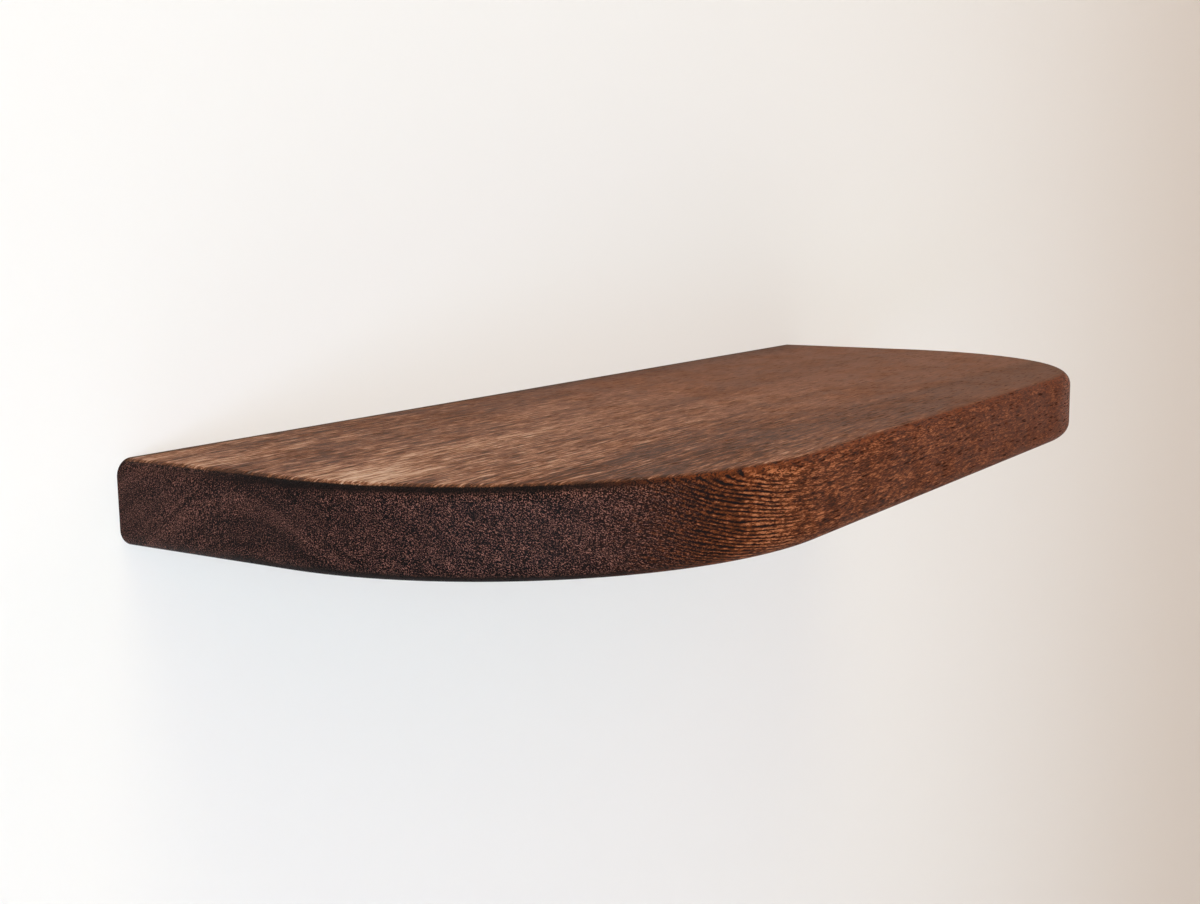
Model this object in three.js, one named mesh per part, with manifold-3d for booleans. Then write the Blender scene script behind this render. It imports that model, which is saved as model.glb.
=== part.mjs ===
// A floating wall shelf: a solid hardwood board with wide round front corners, hung on a concealed
// steel bracket. The board's back is routed and bored, so that it slides over two rods and hides the
// bar that the rods are screwed to. Four wood screws in nylon plugs hold the bar to the wall.
//
// Millimetres, +Z up. The wall is the plane y = 0, and the shelf stands out from it along -Y.
// The origin is the centre of the bar's back face, at mid-thickness of the board.

import * as THREE from "three";
import { mergeVertices } from "three/addons/utils/BufferGeometryUtils.js";
import Module from "manifold-3d";

// Board
const boardLength = 500;
const boardDepth = 200;
const boardThickness = 30;
const cornerRadius = 125;
const edgeRadius = 6;

// Recess and rod bores in the back of the board
const recessLip = 4;
const recessClearance = 1;
const woodAheadOfBores = 40;
const boreEndClearance = 5;
const drillPointAngle = THREE.MathUtils.degToRad(118);

// Bar against the wall
const barThickness = 5;
const barInset = 50;
const barCornerRadius = 5;
const barChamfer = 0.5;

// Rods that carry the board
const rodDiameter = 12;
const rodInset = 60;
const rodTipChamfer = 1.5;
const tappedHoleEndClearance = 2;

// Countersunk machine screws that hold the rods to the bar
const rodScrew = {
  diameter: 6,
  coreDiameter: 4.8,
  neckDiameter: 5.4,
  neckLength: 4.5,
  headDiameter: 11.5,
  length: 16,
  pitch: 1,
  tipLength: 0.8,
  tipDiameter: 4,
};
const hexWidth = 4;
const hexDepth = 2.4;

// Countersunk wood screws that hold the bar to the wall
const wallScrew = {
  diameter: 5,
  coreDiameter: 3.2,
  neckDiameter: 3.7,
  neckLength: 16,
  headDiameter: 9.5,
  length: 50,
  pitch: 2.8,
  tipLength: 6,
  tipDiameter: 0.4,
};
const wallScrewInset = 20;
const crossWidth = 5;
const crossSlotWidth = 1.1;
const crossDepth = 2.6;

// Nylon plugs in the wall
const plugLength = 40;
const plugSetBack = 2.5;
const plugWall = 1.2;
const plugNeckLength = 9;
const plugNoseLength = 4;
const plugNoseWall = 0.6;
const plugRibPitch = 4.5;
const plugRibHeight = 0.5;
const plugSlitWidth = 1.4;
const plugFinWidth = 1;
const plugFinHeight = 0.7;

// Fits
const fitGap = 0.3;
const headRecess = 0.2;
const headRim = 0.3;
const cutOverrun = 2;

// Facets: along a front corner, over an edge, and round the turned pieces
const cornerFacets = 24;
const edgeFacets = 5;
const boreFacets = 24;
const holeFacets = 16;
const plugFacets = 12;
const threadFacets = 8;
const coarseThreadRows = 3;
const fineThreadRows = 2;

// Worked out from the sizes above
const barLength = boardLength - 2 * barInset;
const barHeight = boardThickness - 2 * (recessLip + recessClearance);
const boreDepth = boardDepth - woodAheadOfBores;
const rodLength = boreDepth - boreEndClearance - barThickness;
const rodPlace = barLength / 2 - rodInset;
const wallScrewPlaces = { outer: barLength / 2 - wallScrewInset, inner: rodPlace / 2 };
const sides = { left: -1, right: 1 };

// Finishes
const sapele = { color: 0x6f4634, roughness: 0.5, metalness: 0 };
const blackSteel = { color: 0x2b2b2d, roughness: 0.55, metalness: 0.2 };
const groundSteel = { color: 0xb4b3b0, roughness: 0.32, metalness: 1 };
const blackOxide = { color: 0x35353a, roughness: 0.42, metalness: 0.9 };
const yellowZinc = { color: 0xc9a85c, roughness: 0.34, metalness: 1 };
const greyNylon = { color: 0x9b9d9c, roughness: 0.55, metalness: 0 };

const wasm = await Module();
wasm.setup();

// A closed geometry as a solid that can be cut and joined.
function solidFrom(geometry) {
  const bare = geometry.clone();
  bare.deleteAttribute("normal");
  bare.deleteAttribute("uv");
  const merged = mergeVertices(bare);
  const corners = merged.index.array;
  const triVerts = [];
  for (let i = 0; i < corners.length; i += 3) {
    const [a, b, c] = corners.subarray(i, i + 3);
    if (a !== b && b !== c && c !== a) triVerts.push(a, b, c);
  }
  return new wasm.Manifold(new wasm.Mesh({
    numProp: 3,
    vertProperties: new Float32Array(merged.attributes.position.array),
    triVerts: new Uint32Array(triVerts),
  }));
}

// The surface of a solid.
function geometryFrom(solid) {
  const mesh = solid.getMesh();
  const geometry = new THREE.BufferGeometry();
  geometry.setAttribute("position", new THREE.Float32BufferAttribute(mesh.vertProperties, mesh.numProp));
  geometry.setIndex(new THREE.Uint32BufferAttribute(mesh.triVerts, 1));
  return geometry;
}

// A profile of [radius, y] points turned round the Y axis. It starts at the lower end of the axis.
function turned(profile, facets) {
  const points = profile.map(([radius, y]) => new THREE.Vector2(radius, y));
  return solidFrom(new THREE.LatheGeometry(points, facets));
}

// A box between two corners.
function block(low, high) {
  const size = high.clone().sub(low);
  const centre = high.clone().add(low).divideScalar(2);
  return solidFrom(new THREE.BoxGeometry(...size).translate(...centre));
}

// An upright plate with round corners, from its back at y = 0 forward to y = -depth.
function uprightPlate(length, height, depth, radius, chamfer) {
  const x = length / 2 - radius;
  const z = height / 2 - radius;
  const quarter = Math.PI / 2;
  const outline = new THREE.Shape();
  outline.absarc(x, z, radius, 0, quarter);
  outline.absarc(-x, z, radius, quarter, 2 * quarter);
  outline.absarc(-x, -z, radius, 2 * quarter, 3 * quarter);
  outline.absarc(x, -z, radius, 3 * quarter, 4 * quarter);
  const plate = new THREE.ExtrudeGeometry(outline, {
    depth: depth - 2 * chamfer,
    bevelEnabled: chamfer > 0,
    bevelThickness: chamfer,
    bevelSize: chamfer,
    bevelOffset: -chamfer,
    bevelSegments: 1,
    curveSegments: edgeFacets,
  });
  return solidFrom(plate.rotateX(quarter).translate(0, -chamfer, 0));
}

// The board's outline from above. It runs on behind the wall plane, where the back is cut square.
function boardOutline() {
  const end = boardLength / 2;
  const radius = Math.min(cornerRadius, end, boardDepth);
  const centre = { x: end - radius, y: radius - boardDepth };
  const behind = 2 * edgeRadius;
  const outline = new THREE.Shape();
  outline.moveTo(-end, behind);
  outline.lineTo(-end, centre.y);
  outline.absarc(-centre.x, centre.y, radius, Math.PI, 1.5 * Math.PI);
  outline.absarc(centre.x, centre.y, radius, 1.5 * Math.PI, 2 * Math.PI);
  outline.lineTo(end, behind);
  return outline;
}

// The board without its recess: round over its ends and front, and square at the wall.
function boardBlank() {
  const slab = new THREE.ExtrudeGeometry(boardOutline(), {
    depth: boardThickness - 2 * edgeRadius,
    bevelThickness: edgeRadius,
    bevelSize: edgeRadius,
    bevelOffset: -edgeRadius,
    bevelSegments: edgeFacets,
    curveSegments: cornerFacets,
  });
  slab.translate(0, 0, edgeRadius - boardThickness / 2);
  const low = new THREE.Vector3(-boardLength, 0, -boardThickness);
  const high = new THREE.Vector3(boardLength, boardDepth, boardThickness);
  return solidFrom(slab).subtract(block(low, high));
}

// A blind bore that a rod slides into, from behind the board to the cone of the drill's point.
function rodBore() {
  const radius = rodDiameter / 2 + fitGap;
  const cone = radius / Math.tan(drillPointAngle / 2);
  return turned([[0, -boreDepth - cone], [radius, -boreDepth], [radius, cutOverrun], [0, cutOverrun]],
    boreFacets);
}

function shelfBoard() {
  const recess = uprightPlate(
    barLength + 2 * recessClearance,
    barHeight + 2 * recessClearance,
    barThickness + recessClearance + cutOverrun,
    barCornerRadius + recessClearance,
    0);
  let board = boardBlank().subtract(recess.translate(0, cutOverrun, 0));
  for (const side of Object.values(sides)) {
    board = board.subtract(rodBore().translate(side * rodPlace, 0, 0));
  }
  return board;
}

// The countersunk hole for a screw that points along -Y from a face at y = 0, right through the bar.
function screwHole(screw) {
  const neck = screw.diameter / 2 + fitGap;
  const mouth = screw.headDiameter / 2 + fitGap;
  const coneTop = -headRecess - headRim;
  return turned([
    [0, -barThickness - cutOverrun],
    [neck, -barThickness - cutOverrun],
    [neck, coneTop - (mouth - neck)],
    [mouth, coneTop],
    [mouth, cutOverrun],
    [0, cutOverrun],
  ], holeFacets);
}

// Turns a piece that points along -Y from the bar's back into one that points along +Y from its front.
function facingWall(solid) {
  return solid.rotate([0, 0, 180]).translate(0, -barThickness, 0);
}

function bracketBar() {
  let bar = uprightPlate(barLength, barHeight, barThickness, barCornerRadius, barChamfer);
  for (const side of Object.values(sides)) {
    bar = bar.subtract(screwHole(rodScrew).translate(side * rodPlace, 0, 0));
    for (const place of Object.values(wallScrewPlaces)) {
      bar = bar.subtract(facingWall(screwHole(wallScrew)).translate(side * place, 0, 0));
    }
  }
  return bar;
}

// A rod that stands on the bar's front face, with a chamfered tip and a tapped hole in its foot.
function supportRod() {
  const radius = rodDiameter / 2;
  const tip = -barThickness - rodLength;
  const hole = rodScrew.diameter / 2 + fitGap;
  const holeEnd = -headRecess - rodScrew.length - tappedHoleEndClearance;
  const cone = hole / Math.tan(drillPointAngle / 2);
  return turned([
    [0, tip],
    [radius - rodTipChamfer, tip],
    [radius, tip + rodTipChamfer],
    [radius, -barThickness],
    [hole, -barThickness],
    [hole, holeEnd],
    [0, holeEnd - cone],
  ], boreFacets);
}

// A point of the thread's grid. A column stands at one angle, and each next column starts a little
// lower, so that after a whole turn it meets the first column one pitch down.
function threadPoint(screw, rows, top, bottom, column, row) {
  const turns = row / rows + column / threadFacets;
  const y = THREE.MathUtils.clamp(top + (1 - turns) * screw.pitch, bottom, top);
  const runOut = THREE.MathUtils.clamp((top - y) / screw.pitch, 0, 1);
  const tipShare = THREE.MathUtils.clamp((y - bottom) / screw.tipLength, 0, 1);
  const root = THREE.MathUtils.lerp(screw.tipDiameter, screw.coreDiameter, tipShare) / 2;
  const crest = row % rows === 0 ? (screw.diameter - screw.coreDiameter) / 2 : 0;
  const radius = root + crest * runOut * tipShare;
  const angle = 2 * Math.PI * ((column % threadFacets) / threadFacets);
  return [radius * Math.cos(angle), y, radius * Math.sin(angle)];
}

// A right-handed thread on its core, from y = top down to the tip at y = bottom.
function threadedStem(screw, rows, top, bottom) {
  const rowCount = Math.ceil((rows * (top - bottom)) / screw.pitch) + 2 * rows;
  const point = (column, row) => threadPoint(screw, rows, top, bottom, column, row);
  const position = [];
  for (let column = 0; column < threadFacets; column++) {
    position.push(0, top, 0, ...point(column + 1, 0), ...point(column, 0));
    for (let row = 0; row < rowCount; row++) {
      position.push(...point(column, row), ...point(column + 1, row), ...point(column, row + 1));
      position.push(...point(column + 1, row), ...point(column + 1, row + 1), ...point(column, row + 1));
    }
    position.push(0, bottom, 0, ...point(column, rowCount), ...point(column + 1, rowCount));
  }
  const stem = new THREE.BufferGeometry();
  stem.setAttribute("position", new THREE.Float32BufferAttribute(position, 3));
  return solidFrom(stem);
}

// A countersunk screw without its drive, pointing along -Y with its head just under a face at y = 0.
function screwBlank(screw, rows) {
  const head = screw.headDiameter / 2;
  const neck = screw.neckDiameter / 2;
  const neckEnd = -headRecess - screw.neckLength;
  const coneTop = -headRecess - headRim;
  const upper = turned([
    [0, neckEnd],
    [neck, neckEnd],
    [neck, coneTop - (head - neck)],
    [head, coneTop],
    [head, -headRecess],
    [0, -headRecess],
  ], holeFacets);
  return upper.add(threadedStem(screw, rows, neckEnd + screw.pitch, -headRecess - screw.length));
}

// A hexagon socket, open above y = 0.
function hexSocket() {
  const radius = hexWidth / Math.sqrt(3);
  const bottom = -headRecess - hexDepth;
  return turned([[0, bottom], [radius, bottom], [radius, cutOverrun], [0, cutOverrun]], 6);
}

// A cross recess that narrows to a point, open above y = 0.
function crossRecess() {
  const bottom = -headRecess - crossDepth;
  const wing = crossWidth / 2;
  const slot = crossSlotWidth / 2;
  const across = block(new THREE.Vector3(-wing, bottom, -slot), new THREE.Vector3(wing, 0, slot));
  const upright = block(new THREE.Vector3(-slot, bottom, -wing), new THREE.Vector3(slot, 0, wing));
  const cone = turned([[0, bottom], [wing, -headRecess], [wing, cutOverrun], [0, cutOverrun]], boreFacets);
  return across.add(upright).intersect(cone);
}

function machineScrew() {
  return screwBlank(rodScrew, fineThreadRows).subtract(hexSocket());
}

function woodScrew() {
  return screwBlank(wallScrew, coarseThreadRows).subtract(crossRecess());
}

// The outside of a plug from its nose at the far end to its mouth: a taper, saw-tooth ribs and a neck.
function plugProfile(outer, nose) {
  const ribLength = plugLength - plugNeckLength - plugNoseLength;
  const ribCount = Math.max(1, Math.round(ribLength / plugRibPitch));
  const profile = [[nose, -plugLength]];
  for (let rib = 0; rib < ribCount; rib++) {
    const tooth = -plugNeckLength - ribLength * (1 - rib / ribCount);
    const next = tooth + ribLength / ribCount;
    profile.push([outer - plugRibHeight, tooth], [outer, next]);
  }
  profile.push([outer, 0]);
  return profile;
}

// A split plug whose mouth is at y = 0 and whose nose is at y = -plugLength.
function wallPlug() {
  const bore = wallScrew.diameter / 2 + fitGap;
  const outer = bore + plugWall;
  const nose = bore + plugNoseWall;
  const body = turned([[0, -plugLength], ...plugProfile(outer, nose), [0, 0]], plugFacets);
  const finTip = outer + plugFinHeight;
  const fins = block(
    new THREE.Vector3(-finTip, -plugNeckLength, -plugFinWidth / 2),
    new THREE.Vector3(finTip, -plugFinWidth, plugFinWidth / 2));
  const screwBore = turned([
    [0, -plugLength - cutOverrun],
    [bore, -plugLength - cutOverrun],
    [bore, cutOverrun],
    [0, cutOverrun],
  ], plugFacets);
  const slit = block(
    new THREE.Vector3(-plugSlitWidth / 2, plugNoseLength / 2 - plugLength, -finTip),
    new THREE.Vector3(plugSlitWidth / 2, -plugNeckLength - plugFinWidth, finTip));
  return body.add(fins).subtract(screwBore).subtract(slit);
}

// The whole shelf
const shelf = new THREE.Group();

function addPart(name, solid, finish, x = 0) {
  const mesh = new THREE.Mesh(geometryFrom(solid), new THREE.MeshStandardMaterial(finish));
  mesh.name = name;
  mesh.position.x = x;
  mesh.geometry.computeVertexNormals();
  shelf.add(mesh);
}

addPart("shelf_board", shelfBoard(), sapele);
addPart("bracket_bar", bracketBar(), blackSteel);
for (const [side, sign] of Object.entries(sides)) {
  addPart(`support_rod_${side}`, supportRod(), groundSteel, sign * rodPlace);
  addPart(`rod_screw_${side}`, machineScrew(), blackOxide, sign * rodPlace);
  for (const [row, place] of Object.entries(wallScrewPlaces)) {
    const plug = wallPlug().rotate([0, 0, 180]).translate(0, plugSetBack, 0);
    addPart(`wall_screw_${row}_${side}`, facingWall(woodScrew()), yellowZinc, sign * place);
    addPart(`wall_plug_${row}_${side}`, plug, greyNylon, sign * place);
  }
}

export default shelf;
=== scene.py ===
"""The looks of a floating wall shelf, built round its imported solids.

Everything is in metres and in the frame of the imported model: +X runs along the shelf to the right, +Y
into the wall and +Z up. The wall is the plane y = 0, and z = 0 lies at mid-thickness of the board.
The finishes alone read places and distances in millimetres.
"""

import logging
import math
from collections.abc import Callable, Iterator, Sequence
from contextlib import contextmanager
from dataclasses import dataclass, field
from enum import Enum
from functools import partialmethod, reduce
from operator import add

import bmesh
import bpy
from mathutils import Matrix, Vector


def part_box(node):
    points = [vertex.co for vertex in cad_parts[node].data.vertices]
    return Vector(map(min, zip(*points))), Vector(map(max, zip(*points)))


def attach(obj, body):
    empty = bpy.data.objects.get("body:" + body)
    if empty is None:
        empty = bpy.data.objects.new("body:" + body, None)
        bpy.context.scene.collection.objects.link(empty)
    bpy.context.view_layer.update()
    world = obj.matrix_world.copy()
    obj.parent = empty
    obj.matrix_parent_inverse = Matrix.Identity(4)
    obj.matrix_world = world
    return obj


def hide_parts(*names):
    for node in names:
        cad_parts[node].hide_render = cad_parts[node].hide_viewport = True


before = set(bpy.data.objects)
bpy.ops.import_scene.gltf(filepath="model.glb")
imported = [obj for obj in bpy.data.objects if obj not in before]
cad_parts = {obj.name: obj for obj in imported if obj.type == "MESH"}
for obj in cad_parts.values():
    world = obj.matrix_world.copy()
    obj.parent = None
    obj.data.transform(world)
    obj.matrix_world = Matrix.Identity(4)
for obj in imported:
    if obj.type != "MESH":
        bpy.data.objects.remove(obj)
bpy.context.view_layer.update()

log = logging.getLogger("shelf")

MM = 0.001
CUT_OVERRUN = 2 * MM
FIT_GAP = 0.3 * MM
WELD = 0.002 * MM
DRILL_CONE = 0.6

Socket = bpy.types.NodeSocket
Thing = bpy.types.Object
Pair = tuple[float, float]
Triple = tuple[float, float, float]
Stops = tuple[tuple[float, str], ...]
Weights = tuple[tuple[str, float], ...]


class Side(Enum):
    """An end of the shelf."""

    LEFT = "left"
    RIGHT = "right"


class Row(Enum):
    """Which pair of wall screws a fastener belongs to."""

    OUTER = "outer"
    INNER = "inner"


class Facing(Enum):
    """The way the head of a fastener faces, as the turn about X that brings it there from +Z."""

    ROOM = math.radians(90)
    WALL = math.radians(-90)


class Joining(Enum):
    """What a tool does to a piece."""

    CUT = "DIFFERENCE"
    JOIN = "UNION"


ENDS = [side.value for side in Side]
HOLES = [f"{row.value}_{end}" for end in ENDS for row in Row]


def paint(code: str) -> tuple[float, float, float, float]:
    """Turns a colour as it shows on a screen into the linear colour that a shader takes.

    Args:
        code: Six hexadecimal digits, two each for red, green and blue.

    Returns:
        The linear red, green, blue and full alpha.
    """
    shares = [int(code[i : i + 2], 16) / 255 for i in (0, 2, 4)]
    linear = [s / 12.92 if s <= 0.04045 else ((s + 0.055) / 1.055) ** 2.4 for s in shares]
    return (*linear, 1.0)


@dataclass(frozen=True)
class Pattern:
    """A cloudy pattern: how often it changes per unit along each axis, and how rough it is."""

    scale: Triple
    detail: float = 2.0
    roughness: float = 0.5
    distortion: float = 0.0


@dataclass
class Value:
    """An output of a node. Sums with one that is a number add the nodes that work them out."""

    tree: "Tree"
    socket: Socket

    def out(self, name: str) -> "Value":
        """Gives another output of the same node."""
        return Value(self.tree, self.socket.node.outputs[name])

    def sum_up(self, operation: str, *others: "Feed") -> "Value":
        """Works out a number from this one and one other at most."""
        return self.tree.add("Math", dict(enumerate((self, *others))), operation=operation)

    __add__ = partialmethod(sum_up, "ADD")
    __sub__ = partialmethod(sum_up, "SUBTRACT")
    __mul__ = partialmethod(sum_up, "MULTIPLY")
    __truediv__ = partialmethod(sum_up, "DIVIDE")
    __pow__ = partialmethod(sum_up, "POWER")
    __abs__ = partialmethod(sum_up, "ABSOLUTE")
    __gt__ = partialmethod(sum_up, "GREATER_THAN")

    def __rsub__(self, other: float) -> "Value":
        """Takes this number away from another."""
        return self.tree.add("Math", {0: other, 1: self}, operation="SUBTRACT")

    def clamped(self) -> "Value":
        """Keeps the last sum between 0 and 1."""
        self.socket.node.use_clamp = True
        return self

    def off_middle(self, weight: float) -> "Value":
        """Gives how far a pattern is from its middle, times a weight."""
        return (self - 0.5) * weight

    def span(self, low: float, high: float) -> "Value":
        """Stretches a share from 0 to 1 into a number from low to high."""
        return self * (high - low) + low

    def ramp(self, low: "Feed", high: float) -> "Value":
        """Rises smoothly from 0 at low to 1 at high. Where high is the lower of the two, it falls."""
        inputs = {"Value": self, "From Min": low, "From Max": high}
        return self.tree.add("MapRange", inputs, interpolation_type="SMOOTHSTEP")

    def vector(self, operation: str, *others: "Feed") -> "Value":
        """Works out a vector from this one and two others at most."""
        return self.tree.add("VectorMath", dict(enumerate((self, *others))), operation=operation)

    def axes(self) -> list["Value"]:
        """Takes a vector apart."""
        split = self.tree.add("SeparateXYZ", {0: self})
        return [split.out(axis) for axis in "XYZ"]

    def clouds(self, pattern: Pattern) -> "Value":
        """Draws a cloudy pattern at this place, as a number about 0.5."""
        looks = {"Detail": pattern.detail, "Roughness": pattern.roughness, "Distortion": pattern.distortion}
        return self.tree.add("TexNoise", {0: self.vector("MULTIPLY", pattern.scale), "Scale": 1.0, **looks})

    def relief(self, strength: float, depth: float) -> "Value":
        """Turns a height into a normal, with the depth of the relief in millimetres."""
        return self.tree.add("Bump", {"Height": self, "Strength": strength, "Distance": depth * MM})

    def mix(self, first: "Feed", second: "Feed") -> "Value":
        """Mixes two colours. This number is how much of the second one shows."""
        node = self.tree.node("Mix", {0: self, 6: first, 7: second}, data_type="RGBA")
        return Value(self.tree, node.outputs[2])

    def shades(self, stops: Stops) -> "Value":
        """Gives a number from 0 to 1 a colour from a row of colours.

        Args:
            stops: The places and colours of the row.

        Returns:
            The colour.
        """
        shade = self.tree.add("ValToRGB", {0: self})
        row = shade.socket.node.color_ramp.elements
        while len(row) < len(stops):
            row.new(0.5)
        for element, (place, code) in zip(row, stops):
            element.position = place
            element.color = paint(code)
        return shade


Feed = Value | float | str | tuple
Skin = dict[str, Feed]


class Tree:
    """A node tree that is filled in one node at a time."""

    def __init__(self, tree: bpy.types.NodeTree) -> None:
        """Empties the tree of a material, a world or a group, and starts on it."""
        self.tree = tree
        self.tree.nodes.clear()

    def feed(self, socket: Socket, value: Feed) -> None:
        """Links a value to an input, or sets the input's own.

        Args:
            socket: The input.
            value: An output, a number, numbers or the code of a colour.
        """
        if isinstance(value, Value):
            self.tree.links.new(value.socket, socket)
        else:
            socket.default_value = paint(value) if isinstance(value, str) else value

    def node(self, kind: str, inputs: dict, **settings: object) -> bpy.types.Node:
        """Adds a node.

        Args:
            kind: The node's type without its ShaderNode prefix.
            inputs: Input name or number to what feeds it.
            **settings: The node's own settings.

        Returns:
            The new node.
        """
        node = self.tree.nodes.new("ShaderNode" + kind)
        for name, value in settings.items():
            setattr(node, name, value)
        for name, value in inputs.items():
            self.feed(node.inputs[name], value)
        return node

    def add(self, kind: str, inputs: dict | None = None, **settings: object) -> Value:
        """Adds a node as node does, and gives its first output."""
        return Value(self, self.node(kind, inputs or {}, **settings).outputs[0])


class EffectGroup:
    """A node group that several finishes share. It takes a place and some named numbers."""

    def __init__(self, name: str, **numbers: float) -> None:
        """Starts a group.

        Args:
            name: The group's name.
            **numbers: The numbers that it takes, with their starting values.
        """
        self.group = bpy.data.node_groups.new(name, "ShaderNodeTree")
        self.tree = Tree(self.group)
        sockets = self.group.interface
        sockets.new_socket("place", in_out="INPUT", socket_type="NodeSocketVector")
        for label, value in numbers.items():
            sockets.new_socket(label, in_out="INPUT", socket_type="NodeSocketFloat").default_value = value
        self.given = Value(self.tree, self.group.nodes.new("NodeGroupInput").outputs["place"])

    def give(self, kind: str = "NodeSocketFloat", **results: Value) -> "EffectGroup":
        """Adds the group's outputs.

        Args:
            kind: The type of their sockets.
            **results: What each of them gives.

        Returns:
            The group.
        """
        for label in results:
            self.group.interface.new_socket(label, in_out="OUTPUT", socket_type=kind)
        sockets = self.group.nodes.new("NodeGroupOutput").inputs
        for label, value in results.items():
            self.tree.feed(sockets[label], value)
        return self

    def use(self, place: Value, **numbers: float) -> Value:
        """Puts the group into a material, and gives its first output."""
        return place.tree.add("Group", {"place": place, **numbers}, node_tree=self.group)


def growth_rings() -> EffectGroup:
    """Makes the group that bends straight coordinates along the growth rings of a tree.

    Returns:
        A group that gives a place as one vector of its distance along the grain, its height over the
        rings and its distance across the board, and the place itself, bent as the fibres are.
    """
    made = EffectGroup("growth_rings", heart=0.0, radius=1.0, slope=1.0)
    fibre = made.given
    for scale, reach in (((0.0045, 0.014, 0.014), 10.0), ((0.04, 0.08, 0.08), 1.6)):
        bend = fibre.clouds(Pattern(scale, detail=1.0)).out("Color").vector("SUBTRACT", (0.5, 0.5, 0.5))
        fibre = bend.vector("MULTIPLY_ADD", (reach, reach, reach), fibre)
    along, across, height = fibre.axes()
    from_heart, radius = across - made.given.out("heart"), made.given.out("radius")
    distance = (from_heart * from_heart + radius * radius).sum_up("SQRT")
    over_rings = height + distance * made.given.out("slope")
    grain = made.tree.add("CombineXYZ", {0: along, 1: over_rings, 2: across})
    return made.give("NodeSocketVector", grain=grain, fibre=fibre)


def open_pores() -> EffectGroup:
    """Makes the group that scatters the cut ends of vessels, as dots across the grain and dashes along it.

    Returns:
        A group that gives a mask of the pores and one of those few that hold pale dust.
    """
    made = EffectGroup("open_pores", width=0.3, share=0.5)
    share = made.given.out("share")
    stretched = made.given.vector("MULTIPLY", (0.13, 1.05, 1.05))
    distance = made.tree.add("TexVoronoi", {"Vector": stretched, "Scale": 1.0})
    drawn = made.tree.add("SeparateColor", {0: distance.out("Color")})
    width = made.given.out("width") * (drawn.ramp(share, 1.0) + 0.55)
    shape = (distance / width).ramp(1.0, 0.35)
    return made.give(pores=shape * (drawn > share), dusty=shape * (drawn.out("Green") > 0.93))


def handling_marks() -> EffectGroup:
    """Makes the group of soft smudges and fine scuffs that handling leaves on any surface.

    Returns:
        A group that gives smudges and scuffs as masks from 0 to 1.
    """
    made = EffectGroup("handling_marks", fineness=1.0)
    scaled = made.tree.add("VectorMath", {0: made.given, "Scale": made.given.out("fineness")}, operation="SCALE")
    smudges = scaled.clouds(Pattern((0.05, 0.05, 0.05), 3.0, 0.6))
    scuffs = scaled.clouds(Pattern((0.35, 2.6, 1.9), distortion=0.4))
    return made.give(smudges=smudges.ramp(0.42, 0.68), scuffs=scuffs.ramp(0.66, 0.78))


def edge_wear() -> EffectGroup:
    """Makes the group that finds the sharp edges of a piece and rubs them in patches.

    Returns:
        A group that gives the rubbed edges as a mask from 0 to 1.
    """
    made = EffectGroup("edge_wear", reach=0.4, patchiness=0.5)
    rounded = made.tree.add("Bevel", {"Radius": made.given.out("reach") * MM}, samples=6)
    straight = made.tree.add("NewGeometry").out("Normal")
    likeness = rounded.vector("DOT_PRODUCT", straight).out("Value")
    patches = made.given.clouds(Pattern((0.5, 0.5, 0.5), 4.0, 0.65))
    spared = patches.ramp(0.62, 0.42) * made.given.out("patchiness")
    return made.give(wear=likeness.ramp(0.992, 0.9) * (1.0 - spared))


@dataclass
class Effects:
    """The shared node groups."""

    rings: EffectGroup = field(default_factory=growth_rings)
    pores: EffectGroup = field(default_factory=open_pores)
    marks: EffectGroup = field(default_factory=handling_marks)
    wear: EffectGroup = field(default_factory=edge_wear)


class Finish:
    """A surface that can be put on a piece."""

    name = "finish"

    def make(self, effects: Effects) -> bpy.types.Material:
        """Builds the material.

        Args:
            effects: The shared node groups.

        Returns:
            The finished material.
        """
        material = bpy.data.materials.new(self.name)
        material.use_nodes = True
        tree = Tree(material.node_tree)
        place = tree.add("TexCoord").out("Object").vector("MULTIPLY", (1 / MM, 1 / MM, 1 / MM))
        shader = tree.add("BsdfPrincipled", self.skin(place, effects))
        tree.node("OutputMaterial", {"Surface": self.shown(shader, place)})
        return material

    def skin(self, place: Value, effects: Effects) -> Skin:
        """Says what feeds the shader. The place is on the piece, in millimetres."""
        raise NotImplementedError

    def shown(self, shader: Value, place: Value) -> Value:
        """Changes how the shader is seen. Here it stays as it is."""
        return shader


@dataclass
class Wood:
    """The patterns of the wood at a place, about 0.5 but for the rings, which go from -1 to 1.

    How crisp they are drawn is a share that rises from the right end of the board to the left.
    """

    place: Value
    crisp: Value
    rings: Value
    bands: Value
    grit: Value
    layers: Value
    breaks: Value
    ribbon: Value
    fibres: Value
    specks: Value

    def figure(self, weights: Weights) -> Value:
        """Adds up patterns, each as far as it is off its middle, times its weight."""
        return reduce(add, (getattr(self, name).off_middle(weight) for name, weight in weights))


@dataclass
class Cut:
    """How the surface of the board cuts the wood at a place, and where shade is painted, as masks from 0 to 1.
    """

    end: Value
    turning: Value
    oblique: Value
    flat: Value
    rim: Value
    turned_up: Value
    arris: Value
    # Painted contact shadow along the top edge that meets the wall.
    back: Value


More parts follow.
